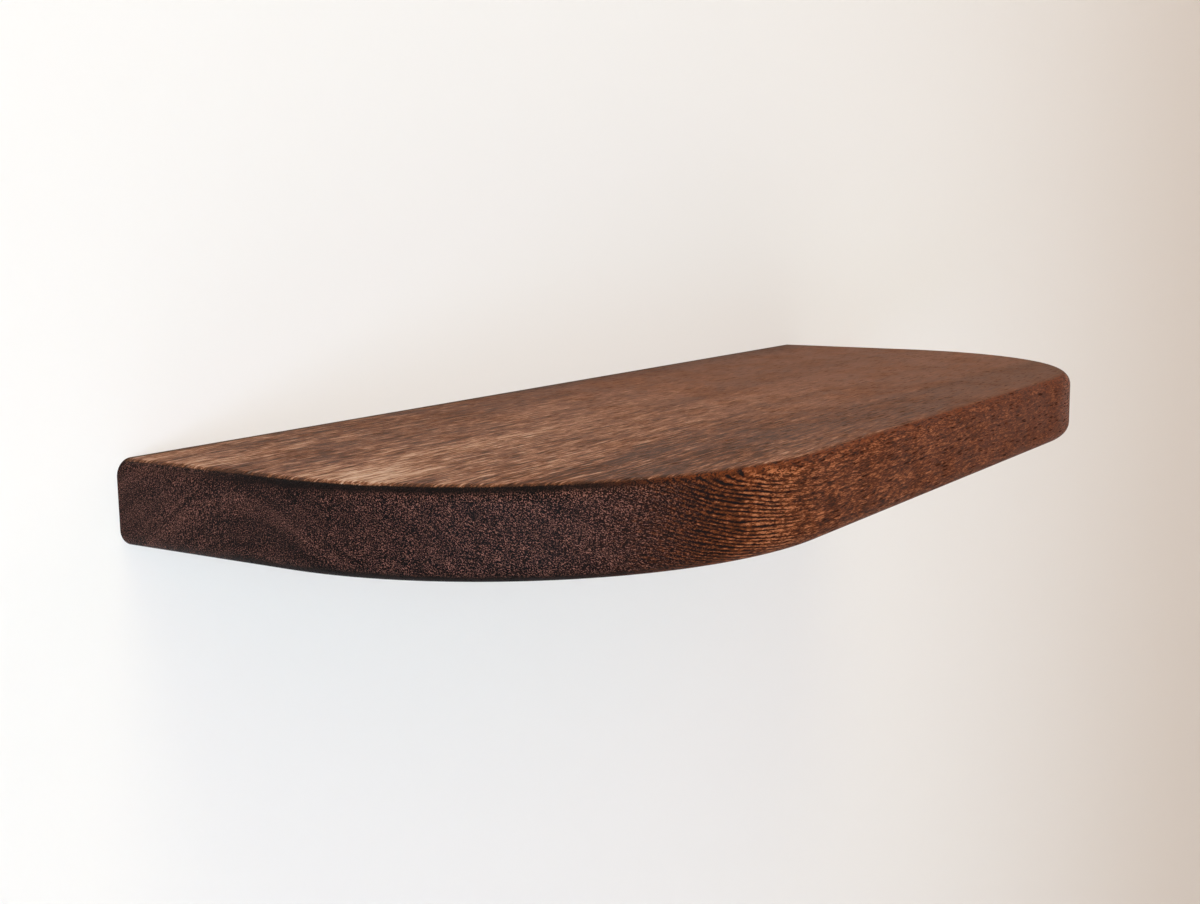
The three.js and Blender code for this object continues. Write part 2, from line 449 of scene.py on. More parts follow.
@dataclass(frozen=True)
class OiledHardwood(Finish):
    """Reddish brown hardwood with open pores, cut from one side of a log and oiled.

    The heart of the log is at y = heart, and its rings curve over it by heart_radius and slope. Some
    patterns follow the rings, and others the fibres. A pair with cut in its name is the part of a normal
    at which a way of cutting starts and is complete. A pair with reach does the same along the board, into
    the wall or up.
    """

    name: str = "oiled_hardwood"
    heart: float = -58.0
    heart_radius: float = 15.0
    slope: float = 0.6
    ring_spacing: float = 1.28
    ring_wander: float = 3.0
    wander: Pattern = Pattern((0.02, 0.13, 0.05))
    ring_patterns: tuple[tuple[str, Pattern], ...] = (
        ("bands", Pattern((0.003, 0.085, 0.012), roughness=0.6)),
        ("grit", Pattern((0.4, 3.6, 2.9), roughness=0.6)),
        ("layers", Pattern((0.003, 0.22, 0.02), roughness=0.6)),
        ("breaks", Pattern((0.1, 0.95, 0.5), 3.0, 0.75)),
    )
    fibre_patterns: tuple[tuple[str, Pattern], ...] = (
        ("ribbon", Pattern((0.012, 0.1, 0.1), 4.0, 0.65)),
        ("fibres", Pattern((0.08, 0.85, 0.85), 3.0, 0.8)),
        ("specks", Pattern((0.25, 1.15, 1.15), 1.0, 0.45)),
    )
    faint_to_crisp: Pair = (230.0, -240.0)
    flat_contrast: Pair = (0.32, 1.52)
    side_contrast: Pair = (0.45, 1.05)
    end_contrast: Pair = (2.0, 2.9)
    flat_figure: Weights = (("bands", 0.42), ("ribbon", 0.34), ("fibres", 1.2))
    side_figure: Weights = (("fibres", 0.65), ("specks", 0.35), ("grit", 0.85), ("bands", 0.06))
    end_figure: Weights = (("layers", 0.52), ("ribbon", 0.16))
    end_cut: Pair = (0.44, 0.76)
    turning_cut: Pair = (0.24, 0.46)
    oblique_cut: Pair = (0.02, 0.34)
    past_oblique_cut: Pair = (0.82, 0.42)
    flat_cut: Pair = (0.92, 0.97)
    # Painted shade: where the underside rounds over, it takes the darker side colours.
    shaded_under_edge_cut: Pair = (0.999, 0.995)
    rim_cut: Pair = (0.999, 0.94)
    turned_up_cut: Pair = (0.1, 0.7)
    # Where the rounded top edge is drawn near black, by its normal and towards the front.
    dark_arris_cut: Pair = (0.8, 0.96)
    dark_arris_reach: Pair = (-12.0, -80.0)
    # Reach of the painted contact shadow where the top meets the wall.
    wall_contact_shadow_reach: Pair = (-3.6, -2.0)
    # Painted window light: the top is lighter over this reach at the left end.
    painted_window_light_reach: Pair = (-190.0, -245.0)
    # The top darkens towards the front as a growth band, and near the wall as painted shade.
    front_tone_and_wall_shade_reaches: tuple[Pair, Pair] = ((-130.0, -175.0), (-30.0, -5.0))
    dark_end_reach: Pair = (-25.0, -60.0)
    near_front_reach: Pair = (-50.0, -130.0)
    low_reach: Pair = (3.0, -11.0)
    line_breaks: float = 5.4
    line_level: Pair = (0.72, 0.98)
    pore_width: float = 0.36
    # Top colours, lighter and greyer than the front's: long-grain figure plus painted sheen.
    flat_shades_with_sheen: Stops = ((0.28, "3C2417"), (0.42, "5C3723"), (0.54, "7A4A2F"), (0.7, "AA7F65"), (0.9, "CDAF9B"))
    side_shades: Stops = ((0.32, "1A0A06"), (0.44, "43200C"), (0.55, "643119"), (0.7, "A96945"))
    end_shades: Stops = ((0.3, "050202"), (0.43, "190C0A"), (0.55, "341C16"), (0.8, "86584B"))
    arris_shade: str = "050201"
    warm_arris_shade: str = "6A3212"
    # Colour of the painted contact shadow, with a warm reflected tint, where the top meets the wall.
    wall_contact_shadow_shade: str = "38230A"
    line_shade: str = "0C0605"
    pore_shade: str = "0D0706"
    dust_shade: str = "9A8276"

    def wood(self, place: Value, grain: Value) -> Wood:
        """Adds the patterns of the wood.

        Args:
            place: The place in millimetres.
            grain: The place as the growth rings bend it.

        Returns:
            The patterns.
        """
        turns = grain.clouds(self.wander) * self.ring_wander + grain.axes()[1] / self.ring_spacing
        patterns = {name: grain.clouds(pattern) for name, pattern in self.ring_patterns}
        patterns |= {name: grain.out("fibre").clouds(pattern) for name, pattern in self.fibre_patterns}
        crisp = place.axes()[0].ramp(*self.faint_to_crisp)
        return Wood(place, crisp, (turns * math.tau).sum_up("SINE"), **patterns)

    def cut(self, wood: Wood) -> Cut:
        """Reads from normal and place how the grain is cut. The grit of the wood frays the borders.

        Args:
            wood: The patterns of the wood.

        Returns:
            The masks.
        """
        tree = wood.place.tree
        across, into, up = tree.add("TexCoord").out("Normal").axes()
        level = tree.add("CombineXYZ", {0: across, 1: into}).vector("NORMALIZE")
        along, upward, depth = abs(level.axes()[0]), abs(up), wood.place.axes()[1]
        # Painted shade under the board: its rounded bottom edges lose the top's colours for the darker side
        # ones.
        shaded_under_edge = up.ramp(0.0, -0.1) * upward.ramp(*self.shaded_under_edge_cut)
        flatness_with_under_shade = along**2 * 0.07 + upward - shaded_under_edge * 0.3
        flat = (wood.grit.off_middle(0.1) + flatness_with_under_shade).ramp(*self.flat_cut)
        # The rounded top edge is drawn near black, more so towards the front.
        dark_arris = (wood.grit.off_middle(1.4) + along**3 * 0.18 + upward).ramp(*self.dark_arris_cut)
        frayed = wood.grit.off_middle(0.5) + along
        return Cut(
            end=frayed.ramp(*self.end_cut),
            turning=frayed.ramp(*self.turning_cut),
            oblique=frayed.ramp(*self.oblique_cut) * frayed.ramp(*self.past_oblique_cut),
            flat=flat,
            rim=upward.ramp(*self.rim_cut) * along**2,
            turned_up=upward.ramp(*self.turned_up_cut),
            arris=dark_arris * depth.ramp(*self.dark_arris_reach),
            # Painted contact shadow: a thin dark line on the top where it meets the wall.
            back=depth.ramp(*self.wall_contact_shadow_reach) * flat,
        )

    def lines(self, wood: Wood, cut: Cut) -> Value:
        """Draws dark broken lines along the rings, densest where the vessels are cut at a slant."""
        broken = wood.breaks.off_middle(self.line_breaks) + wood.rings
        return (broken + cut.oblique * 0.3 - cut.turned_up * 0.45).ramp(*self.line_level)

    def flat(self, wood: Wood, cut: Cut) -> Value:
        """Colours the long grain of top and underside, with painted sheen and painted light at the left end.

        Args:
            wood: The patterns of the wood.
            cut: How the surface cuts it.

        Returns:
            The colour.
        """
        x, y, _ = wood.place.axes()
        # Painted window light: the top is lighter towards the left end, nearest the window.
        painted_window_light = x.ramp(*self.painted_window_light_reach) * 0.1
        # Darker towards the front as a growth band, and near the wall as painted shade in the corner.
        front_tone_and_wall_shade = reduce(add, (y.ramp(*reach) for reach in self.front_tone_and_wall_shade_reaches)) * 0.07
        value = wood.figure(self.flat_figure) * (wood.crisp**2).span(*self.flat_contrast) + 0.5
        return (value + painted_window_light - front_tone_and_wall_shade - cut.rim * 0.2).shades(self.flat_shades_with_sheen)

    def side(self, wood: Wood, cut: Cut) -> Value:
        """Colours the front, and the corners where it turns into the ends.

        Args:
            wood: The patterns of the wood.
            cut: How the surface cuts it.

        Returns:
            The colour.
        """
        value = wood.figure(self.side_figure) * wood.crisp.span(*self.side_contrast) + 0.5
        value = value + cut.oblique * (0.07 - wood.rings * 0.08) - cut.turning * 0.19
        lines = self.lines(wood, cut)
        shown = (lines * (cut.oblique * 0.95 + 0.12)).clamped()
        side = shown.mix(value.shades(self.side_shades), self.line_shade)
        return cut.arris.mix(side, (lines * 0.9).mix(self.warm_arris_shade, self.line_shade))

    def end(self, wood: Wood, cut: Cut) -> Value:
        """Colours the end grain, which is darkest low down and towards the front.

        Args:
            wood: The patterns of the wood.
            cut: How the surface cuts it.

        Returns:
            The colour.
        """
        _, y, z = wood.place.axes()
        near_front = y.ramp(*self.near_front_reach)
        speckle = (wood.grit.off_middle(1.6) - 0.062) * near_front.span(*self.end_contrast) + 0.5
        darker = y.ramp(*self.dark_end_reach) * 0.08 + z.ramp(*self.low_reach) * 0.03 - near_front * 0.015
        end = (speckle + wood.figure(self.end_figure) - darker).shades(self.end_shades)
        end = (self.lines(wood, cut) * 0.4).mix(end, self.line_shade)
        return (cut.arris * 0.9).mix(end, self.arris_shade)

    def skin(self, place: Value, effects: Effects) -> Skin:
        """Colours the wood by its patterns and cut, and opens its pores.

        Args:
            place: The place in millimetres.
            effects: The shared node groups.

        Returns:
            What feeds the shader.
        """
        grain = effects.rings.use(place, heart=self.heart, radius=self.heart_radius, slope=self.slope)
        wood = self.wood(place, grain)
        cut = self.cut(wood)
        colour = cut.end.mix(self.side(wood, cut), self.end(wood, cut))
        colour = cut.flat.mix(colour, self.flat(wood, cut))
        drawn = effects.pores.use(grain.out("fibre"), width=self.pore_width, share=0.5)
        pores = drawn * (1.0 - cut.flat * 0.3)
        colour = (pores * 0.7).mix(colour, self.pore_shade)
        colour = (drawn.out("dusty") * cut.flat * 0.5).mix(colour, self.dust_shade)
        smudges = effects.marks.use(place, fineness=0.8)
        return {
            # Paints the contact shadow, with a warm reflected tint, where the top meets the wall.
            "Base Color": (cut.back * 0.8).mix(colour, self.wall_contact_shadow_shade),
            "Roughness": smudges * 0.08 + pores * 0.3 + 0.56,
            "Specular IOR Level": 0.06,
            "Normal": (wood.fibres * (wood.crisp + 0.3) - pores).relief(0.4, 0.35),
        }


@dataclass(frozen=True)
class PowderCoat(Finish):
    """Black powder coat with a fine orange-peel skin, rubbed through at its edges."""

    name: str = "black_powder_coat"
    shades_of_coat: Stops = ((0.35, "222224"), (0.65, "303033"))
    scuffed_shade: str = "55555A"
    bare_shade: str = "8C8A86"
    clouds: Pattern = Pattern((0.07, 0.2, 0.2), 3.0)
    peel: Pattern = Pattern((1.6, 1.6, 1.6))

    def skin(self, place: Value, effects: Effects) -> Skin:
        """Scuffs the coat, and bares the steel where the edges are rubbed.

        Args:
            place: The place in millimetres.
            effects: The shared node groups.

        Returns:
            What feeds the shader.
        """
        smudges = effects.marks.use(place, fineness=1.2)
        wear = effects.wear.use(place, reach=1.3, patchiness=0.9)
        coat = place.clouds(self.clouds).shades(self.shades_of_coat)
        coat = (smudges.out("scuffs") * 0.4).mix(coat, self.scuffed_shade)
        return {
            "Base Color": (wear * 0.8).mix(coat, self.bare_shade),
            "Roughness": smudges * 0.1 + 0.48 - wear * 0.12,
            "Metallic": wear,
            "Normal": place.clouds(self.peel).relief(0.25, 0.1),
        }


@dataclass(frozen=True)
class Steel(Finish):
    """Bare or plated steel with the fine lines that drawing or turning leaves."""

    name: str = "drawn_steel"
    shades_of_metal: Stops = ((0.3, "9C9A96"), (0.5, "B4B2AE"), (0.7, "C6C4C0"))
    stained_shade: str = "77706A"
    worn_shade: str = "D8D6D2"
    clouds: Pattern = Pattern((0.16, 0.11, 0.16), 3.0, 0.6)
    lines: Pattern = Pattern((3.5, 0.05, 3.5))
    roughness: float = 0.22
    metal: float = 1.0

    def skin(self, place: Value, effects: Effects) -> Skin:
        """Varies plating, lines and stains over the metal.

        Args:
            place: The place in millimetres.
            effects: The shared node groups.

        Returns:
            What feeds the shader.
        """
        lines = place.clouds(self.lines)
        stain = effects.marks.use(place, fineness=2.0) * 0.16
        wear = effects.wear.use(place, reach=0.3, patchiness=0.6) * 0.7
        metal = stain.mix(place.clouds(self.clouds).shades(self.shades_of_metal), self.stained_shade)
        return {
            "Base Color": wear.mix(metal, self.worn_shade),
            "Roughness": lines * 0.18 + self.roughness + stain * 0.4,
            "Metallic": self.metal,
            "Normal": lines.relief(0.12, 0.05),
        }


BLACK_OXIDE = Steel(
    name="black_oxide",
    shades_of_metal=((0.3, "2C2C30"), (0.5, "3A3A3F"), (0.7, "4A4A4F")),
    stained_shade="2A2420",
    worn_shade="84848A",
    lines=Pattern((1.5, 1.5, 1.5)),
    roughness=0.34,
    metal=0.9,
)
YELLOW_ZINC = Steel(
    name="yellow_zinc",
    shades_of_metal=((0.32, "B8924A"), (0.5, "CBAA5E"), (0.68, "B9B07C")),
    stained_shade="8A6A3C",
    worn_shade="DAD4C0",
    lines=Pattern((1.2, 1.2, 1.2)),
    roughness=0.24,
)


@dataclass(frozen=True)
class MouldedNylon(Finish):
    """Grey nylon, slightly see-through and dulled by plaster dust."""

    name: str = "moulded_nylon"
    shade: str = "8F9291"
    dust_shade: str = "CFCBC4"
    grain: Pattern = Pattern((2.5, 2.5, 2.5))

    def skin(self, place: Value, effects: Effects) -> Skin:
        """Dusts the moulded plastic with plaster.

        Args:
            place: The place in millimetres.
            effects: The shared node groups.

        Returns:
            What feeds the shader.
        """
        dust = effects.marks.use(place, fineness=3.0) * 0.55
        return {
            "Base Color": dust.mix(self.shade, self.dust_shade),
            "Roughness": dust * 0.6 + 0.42,
            "Subsurface Weight": 0.15,
            "Subsurface Scale": 1.5 * MM,
            "Normal": place.clouds(self.grain).relief(0.2, 0.08),
        }


def select_nothing() -> None:
    """Leaves object mode with nothing selected."""
    if bpy.context.object and bpy.context.object.mode != "OBJECT":
        bpy.ops.object.mode_set(mode="OBJECT")
    bpy.ops.object.select_all(action="DESELECT")


def take_up(piece: Thing) -> None:
    """Makes a piece the only one that is selected, and the active one.

    Args:
        piece: The piece.
    """
    select_nothing()
    piece.select_set(True)
    bpy.context.view_layer.objects.active = piece


@contextmanager
def edit_mode(parts: str, action: str) -> Iterator[None]:
    """Opens the mesh of the active piece, and closes it afterwards.

    Args:
        parts: Which of its parts are picked: VERT, EDGE or FACE.
        action: Whether they are all picked at the start: SELECT or DESELECT.
    """
    bpy.ops.object.mode_set(mode="EDIT")
    bpy.ops.mesh.select_mode(type=parts)
    bpy.ops.mesh.select_all(action=action)
    yield
    bpy.ops.object.mode_set(mode="OBJECT")


def settle(piece: Thing) -> Thing:
    """Moves a piece's place, turn and scale into its mesh, and makes its faces point out.

    Args:
        piece: The piece.

    Returns:
        The piece.
    """
    take_up(piece)
    bpy.ops.object.transform_apply(location=True, rotation=True, scale=True)
    with edit_mode("VERT", "SELECT"):
        bpy.ops.mesh.normals_make_consistent(inside=False)
    return piece


def round_edges(piece: Thing, wanted: Callable[[Vector, Vector], bool], radius: float, facets: int) -> None:
    """Rounds edges of the active piece.

    Args:
        piece: The active piece.
        wanted: Says of the two ends of an edge whether it is rounded.
        radius: The radius of the rounding.
        facets: How many facets it has.
    """
    with edit_mode("EDGE", "DESELECT"):
        for edge in bmesh.from_edit_mesh(piece.data).edges:
            edge.select_set(wanted(edge.verts[0].co, edge.verts[1].co))
        bmesh.update_edit_mesh(piece.data)
        bpy.ops.mesh.bevel(offset=radius, segments=facets, affect="EDGES")


def block(name: str, low: Sequence[float], high: Sequence[float]) -> Thing:
    """Adds a box between two corners, as a start for a piece or a cutter.

    Args:
        name: The object's name.
        low: Its lowest corner.
        high: Its highest corner.

    Returns:
        The box.
    """
    select_nothing()
    low, high = Vector(low), Vector(high)
    bpy.ops.mesh.primitive_cube_add(size=1, location=(low + high) / 2, scale=high - low)
    bpy.context.object.name = name
    return settle(bpy.context.object)


def turned(name: str, rings: Sequence[Pair], facets: int) -> Thing:
    """Grows a round solid ring by ring along Z out of a disc, as on a lathe.

    Args:
        name: The object's name.
        rings: Radius and height of each ring, in the order in which they follow each other.
        facets: How many sides it has.

    Returns:
        The closed solid.
    """
    select_nothing()
    radius, height = rings[0]
    bpy.ops.mesh.primitive_circle_add(vertices=facets, radius=radius, fill_type="NGON", location=(0, 0, height))
    piece = bpy.context.object
    piece.name = name
    bpy.ops.object.transform_apply(location=True)
    with edit_mode("FACE", "SELECT"):
        for next_radius, next_height in rings[1:]:
            bpy.ops.mesh.extrude_region_move(TRANSFORM_OT_translate={"value": (0, 0, next_height - height)})
            share = next_radius / radius
            bpy.ops.transform.resize(value=(share, share, 1), center_override=(0, 0, next_height))
            radius, height = next_radius, next_height
    return settle(piece)


def combine(piece: Thing, tool: Thing, joining: Joining = Joining.CUT) -> Thing:
    """Cuts a tool out of a piece, or joins it on, and removes the tool.

    Args:
        piece: The piece that is kept.
        tool: The object that cuts it or is joined to it.
        joining: Which of the two is done.

    Returns:
        The piece.
    """
    take_up(piece)
    boolean = piece.modifiers.new("combine", "BOOLEAN")
    boolean.operation = joining.value
    boolean.solver = "EXACT"
    boolean.object = tool
    bpy.ops.object.modifier_apply(modifier=boolean.name)
    bpy.data.objects.remove(tool)
    return piece


def smooth(piece: Thing, angle: float = math.radians(32)) -> Thing:
    """Welds a piece's mesh, and shades its curves smooth while its flats and corners stay crisp.

    Args:
        piece: The piece.
        angle: The sharpest bend that is shaded smooth.

    Returns:
        The piece.
    """
    take_up(piece)
    with edit_mode("VERT", "SELECT"):
        bpy.ops.mesh.remove_doubles(threshold=WELD)
        bpy.ops.mesh.dissolve_degenerate(threshold=WELD)
    bpy.ops.object.shade_smooth_by_angle(angle=angle)
    weighted = piece.modifiers.new("weighted", "WEIGHTED_NORMAL")
    weighted.keep_sharp = True
    bpy.ops.object.modifier_apply(modifier=weighted.name)
    return piece


def aim(piece: Thing, facing: Facing, place: Triple, spin: float = 0.0) -> Thing:
    """Turns a piece that was made along Z towards the room or the wall, and puts it in place.

    Args:
        piece: The piece, with its head at z = 0.
        facing: Which way the head faces.
        place: Where the head's centre goes.
        spin: How far the piece is turned about its own axis first.

    Returns:
        The piece.
    """
    turn = Matrix.Rotation(facing.value, 4, "X") @ Matrix.Rotation(spin, 4, "Z")
    piece.data.transform(Matrix.Translation(place) @ turn)
    return piece


def middle(node: str) -> float:
    """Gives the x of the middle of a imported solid."""
    low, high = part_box(node)
    return (low.x + high.x) / 2


class Part:
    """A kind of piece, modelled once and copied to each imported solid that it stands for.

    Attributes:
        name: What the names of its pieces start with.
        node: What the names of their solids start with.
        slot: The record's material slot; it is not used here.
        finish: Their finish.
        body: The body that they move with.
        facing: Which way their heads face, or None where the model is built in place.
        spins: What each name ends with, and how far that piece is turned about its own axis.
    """

    name: str
    node: str
    slot: str
    finish: Finish
    body: str = "wall_bracket"
    facing: Facing | None = None
    spins: dict[str, float] = {"": 0.0}

    def build(self) -> Thing:
        """Models the piece in place, or along Z with its head at z = 0."""
        raise NotImplementedError

    def dress(self, effects: Effects) -> None:
        """Puts up a copy of the model, with a mesh of its own, for each solid.

        Args:
            effects: The shared node groups.
        """
        model = self.build()
        material = self.finish.make(effects)
        for ending, spin in self.spins.items():
            node = self.node + ending
            piece = model.copy()
            piece.data = model.data.copy()
            piece.name = self.name + ending
            bpy.context.scene.collection.objects.link(piece)
            if self.facing:
                low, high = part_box(node)
                face = high.y if self.facing is Facing.WALL else low.y
                aim(piece, self.facing, (middle(node), face, 0), spin)
            piece.data.materials.clear()
            piece.data.materials.append(material)
            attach(piece, self.body)
            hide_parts(node)
            log.info("%s stands for %s with %d faces", piece.name, node, len(piece.data.polygons))
        bpy.data.objects.remove(model)


@dataclass
class Board(Part):
    """The board: a plank with round front corners, rounded edges, a recess and two rod bores."""

    name, node, slot, body = "oiled_board", "shelf_board", "board_wood", "board"
    finish = OiledHardwood()
    corner_radius: float = 125 * MM
    corner_facets: int = 72
    edge_radius: float = 6 * MM
    edge_facets: int = 12
    recess_clearance: float = 1 * MM
    recess_radius: float = 6 * MM
    recess_facets: int = 10
    bore_end_clearance: float = 5 * MM
    bore_tip_share: float = 0.02
    bore_facets: int = 64

    def blank(self) -> Thing:
        """Shapes the outside of the board from a box.

        Returns:
            The board without its recess and bores.
        """
        low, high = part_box(self.node)
        blank = block("blank", low, high)
        close = self.edge_radius / 100
        round_edges(
            blank,
            lambda a, b: max(a.y, b.y) < low.y + close and abs(a.x - b.x) < close,
            self.corner_radius,
            self.corner_facets,
        )
        round_edges(
            blank,
            lambda a, b: abs(a.z - b.z) < close and min(a.y, b.y) < high.y - close,
            self.edge_radius,
            self.edge_facets,
        )
        return blank

    def recess(self) -> Thing:
        """Makes the cutter for the slot that takes the bar.

        Returns:
            The cutter.
        """
        low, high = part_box("bracket_bar")
        room = self.recess_clearance
        top = (high.x + room, CUT_OVERRUN, high.z + room)
        cutter = block("recess", low - Vector((room, room, room)), top)
        round_edges(cutter, lambda a, b: abs(a.y - b.y) > room, self.recess_radius, self.recess_facets)
        return cutter

    def bore(self, end: str) -> Thing:
        """Makes the cutter for the bore of the rod at one end.

        Args:
            end: The end of the shelf.

        Returns:
            The cutter.
        """
        low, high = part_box(f"support_rod_{end}")
        radius = (high.x - low.x) / 2 + FIT_GAP
        depth = low.y - self.bore_end_clearance
        tip = (radius * self.bore_tip_share, depth - radius * DRILL_CONE)
        cutter = turned("bore", [(radius, CUT_OVERRUN), (radius, depth), tip], self.bore_facets)
        return aim(cutter, Facing.WALL, ((low.x + high.x) / 2, 0, 0))

    def build(self) -> Thing:
        """Cuts the recess and the bores into the blank.

        Returns:
            The board.
        """
        board = combine(self.blank(), self.recess())
        for end in ENDS:
            board = combine(board, self.bore(end))
        return smooth(board)


@dataclass
class Countersink:
    """A countersunk hole in the bar, seen from its wide end at z = 0."""

    head_radius: float
    hole_radius: float
    rim: float = 0.5 * MM
    facets: int = 48

    def cutter(self, depth: float) -> Thing:
        """Makes the cutter for a plate of some thickness.

        Args:
            depth: The thickness.

        Returns:
            The cutter.
        """
        mouth, hole = self.head_radius + FIT_GAP, self.hole_radius
        rings = [(mouth, CUT_OVERRUN), (mouth, -self.rim), (hole, hole - mouth - self.rim)]
        return turned("countersink", [*rings, (hole, -depth - CUT_OVERRUN)], self.facets)


@dataclass
class WallBar(Part):
    """The flat bar that is screwed to the wall."""

    name, node, slot, finish = "wall_bar", "bracket_bar", "bar_paint", PowderCoat()
    corner_radius: float = 5 * MM
    corner_facets: int = 10
    edge_radius: float = 0.5 * MM
    edge_facets: int = 3
    rod_screw_hole: Countersink = field(default_factory=lambda: Countersink(5.75 * MM, 3.3 * MM))
    wall_screw_hole: Countersink = field(default_factory=lambda: Countersink(4.75 * MM, 2.8 * MM))

    def build(self) -> Thing:
        """Rounds the bar's corners and edges and countersinks its holes.

        Returns:
            The finished mesh.
        """
        low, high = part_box(self.node)
        bar = block("bar", low, high)
        thickness = high.y - low.y
        half = thickness / 2
        round_edges(bar, lambda a, b: abs(a.y - b.y) > half, self.corner_radius, self.corner_facets)
        round_edges(bar, lambda a, b: abs(a.y - b.y) < half, self.edge_radius, self.edge_facets)
        for end in ENDS:
            holes = [(f"rod_screw_{end}", self.rod_screw_hole, Facing.WALL, 0)]
            for row in Row:
                holes.append((f"wall_screw_{row.value}_{end}", self.wall_screw_hole, Facing.ROOM, low.y))
            for node, hole, facing, face in holes:
                bar = combine(bar, aim(hole.cutter(thickness), facing, (middle(node), face, 0)))
        return smooth(bar)


@dataclass
class SupportRods(Part):
    """The rods that carry the board."""

    name, node, slot, finish = "rod_", "support_rod_", "rod_steel", Steel()
    facing = Facing.WALL
    spins = dict(zip(ENDS, (-1.0, 1.0)))
    tip_radius: float = 1.5 * MM
    tip_steps: int = 6
    foot_chamfer: float = 0.3 * MM
    tapped_radius: float = 3.3 * MM
    tapped_depth: float = 13 * MM
    tapped_chamfer: float = 0.4 * MM
    tapped_tip_share: float = 0.05
    facets: int = 64

    def build(self) -> Thing:
        """Turns one rod, with its foot at z = 0 and its tip below.

        Returns:
            The finished mesh.
        """
        low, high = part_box("support_rod_left")
        radius = (high.x - low.x) / 2
        tapped, depth = self.tapped_radius, self.tapped_depth
        rings = [(tapped * self.tapped_tip_share, -depth - tapped * DRILL_CONE), (tapped, -depth)]
        rings += [(tapped, -self.tapped_chamfer), (tapped + self.tapped_chamfer, 0)]
        rings += [(radius - self.foot_chamfer, 0), (radius, -self.foot_chamfer)]
        for step in range(self.tip_steps + 1):
            angle = math.pi / 2 * step / self.tip_steps
            inset = self.tip_radius * (1 - math.cos(angle))
            rings.append((radius - inset, self.tip_radius * (1 - math.sin(angle)) - (high.y - low.y)))
        return smooth(turned("support_rod", rings, self.facets))


@dataclass
class Screw(Part):
    """A countersunk screw with its head at z = 0 and its tip below."""

    diameter: float
    core_diameter: float
    neck_diameter: float
    neck_length: float
    head_diameter: float
    length: float
    pitch: float
    tip_length: float
    tip_diameter: float
    crest_share: float
    rim: float = 0.3 * MM
    facets: int = 32
    sunk_share: float = 0.8
    smooth_angle: float = math.radians(28)

    def drive(self) -> Thing:
        """Makes the cutter for the socket or recess in the head."""
        raise NotImplementedError

    def shank(self) -> Thing:
        """Turns the head, neck, core and tip.

        Returns:
            The screw without thread and drive.
        """
        head, neck, core = self.head_diameter / 2, self.neck_diameter / 2, self.core_diameter / 2
        soft = self.rim / 3
        rings = [(head - soft, 0), (head, -soft), (head, -self.rim), (neck, -self.rim - (head - neck))]
        rings += [(neck, -self.neck_length), (core, -self.neck_length - (neck - core))]
        rings += [(core, self.tip_length - self.length), (self.tip_diameter / 2, -self.length)]
        return turned("shank", rings, self.facets)

    def thread(self) -> Thing:
        """Winds a ridge round the core by the screw modifier, and draws it in at the tip.

        Returns:
            The ridge, closed at both ends.
        """
        core = self.core_diameter / 2
        sunk = core * self.sunk_share
        half = self.pitch * self.crest_share / 2
        select_nothing()
        bpy.ops.mesh.primitive_circle_add(vertices=3, radius=core, fill_type="NOTHING")
        ridge = bpy.context.object
        for vertex, (x, z) in zip(ridge.data.vertices, ((self.diameter / 2, 0), (sunk, -half), (sunk, half))):
            vertex.co = (x, 0, z - self.length)
        winding = ridge.modifiers.new("winding", "SCREW")
        winding.screw_offset = self.pitch
        winding.iterations = int((self.length - self.neck_length) / self.pitch)
        winding.steps = winding.render_steps = self.facets
        winding.use_normal_calculate = True
        bpy.ops.object.modifier_apply(modifier=winding.name)
        for vertex in ridge.data.vertices:
            share = min(1.0, max(0.0, (vertex.co.z + self.length) / self.tip_length))
            draw_in = self.tip_diameter / self.core_diameter * (1 - share) + share
            run_out = min(1.0, max(0.0, (-self.neck_length - vertex.co.z) / self.pitch))
            radial = vertex.co.xy
            radial = radial.normalized() * (sunk + (radial.length - sunk) * run_out) * draw_in
            vertex.co = (*radial, max(vertex.co.z, -self.length))
        with edit_mode("EDGE", "DESELECT"):
            bpy.ops.mesh.select_non_manifold()
            bpy.ops.mesh.edge_face_add()
        return settle(ridge)

    def build(self) -> Thing:
        """Joins thread and shank, and cuts the drive."""
        screw = combine(self.shank(), self.thread(), Joining.JOIN)
        return smooth(combine(screw, self.drive()), self.smooth_angle)


@dataclass
class MachineScrews(Screw):
    """The screws behind the rods, with hexagon sockets."""

    name, node, slot, finish = "machine_screw_", "rod_screw_", "rod_screw_steel", BLACK_OXIDE
    facing = Facing.WALL
    spins = dict(zip(ENDS, (-0.4, 0.4)))
    diameter: float = 6 * MM
    core_diameter: float = 4.8 * MM
    neck_diameter: float = 5.4 * MM
    neck_length: float = 4.5 * MM
    head_diameter: float = 11.5 * MM
    length: float = 16 * MM
    pitch: float = 1 * MM
    tip_length: float = 0.8 * MM
    tip_diameter: float = 4 * MM
    crest_share: float = 0.9
    socket_width: float = 4 * MM
    socket_depth: float = 2.4 * MM

    def drive(self) -> Thing:
        """Makes the cutter of the hexagon socket, with a drilled floor."""
        radius, floor = self.socket_width / math.sqrt(3), -self.socket_depth
        return turned("socket", [(radius / 4, floor - radius / 3), (radius, floor), (radius, CUT_OVERRUN)], 6)


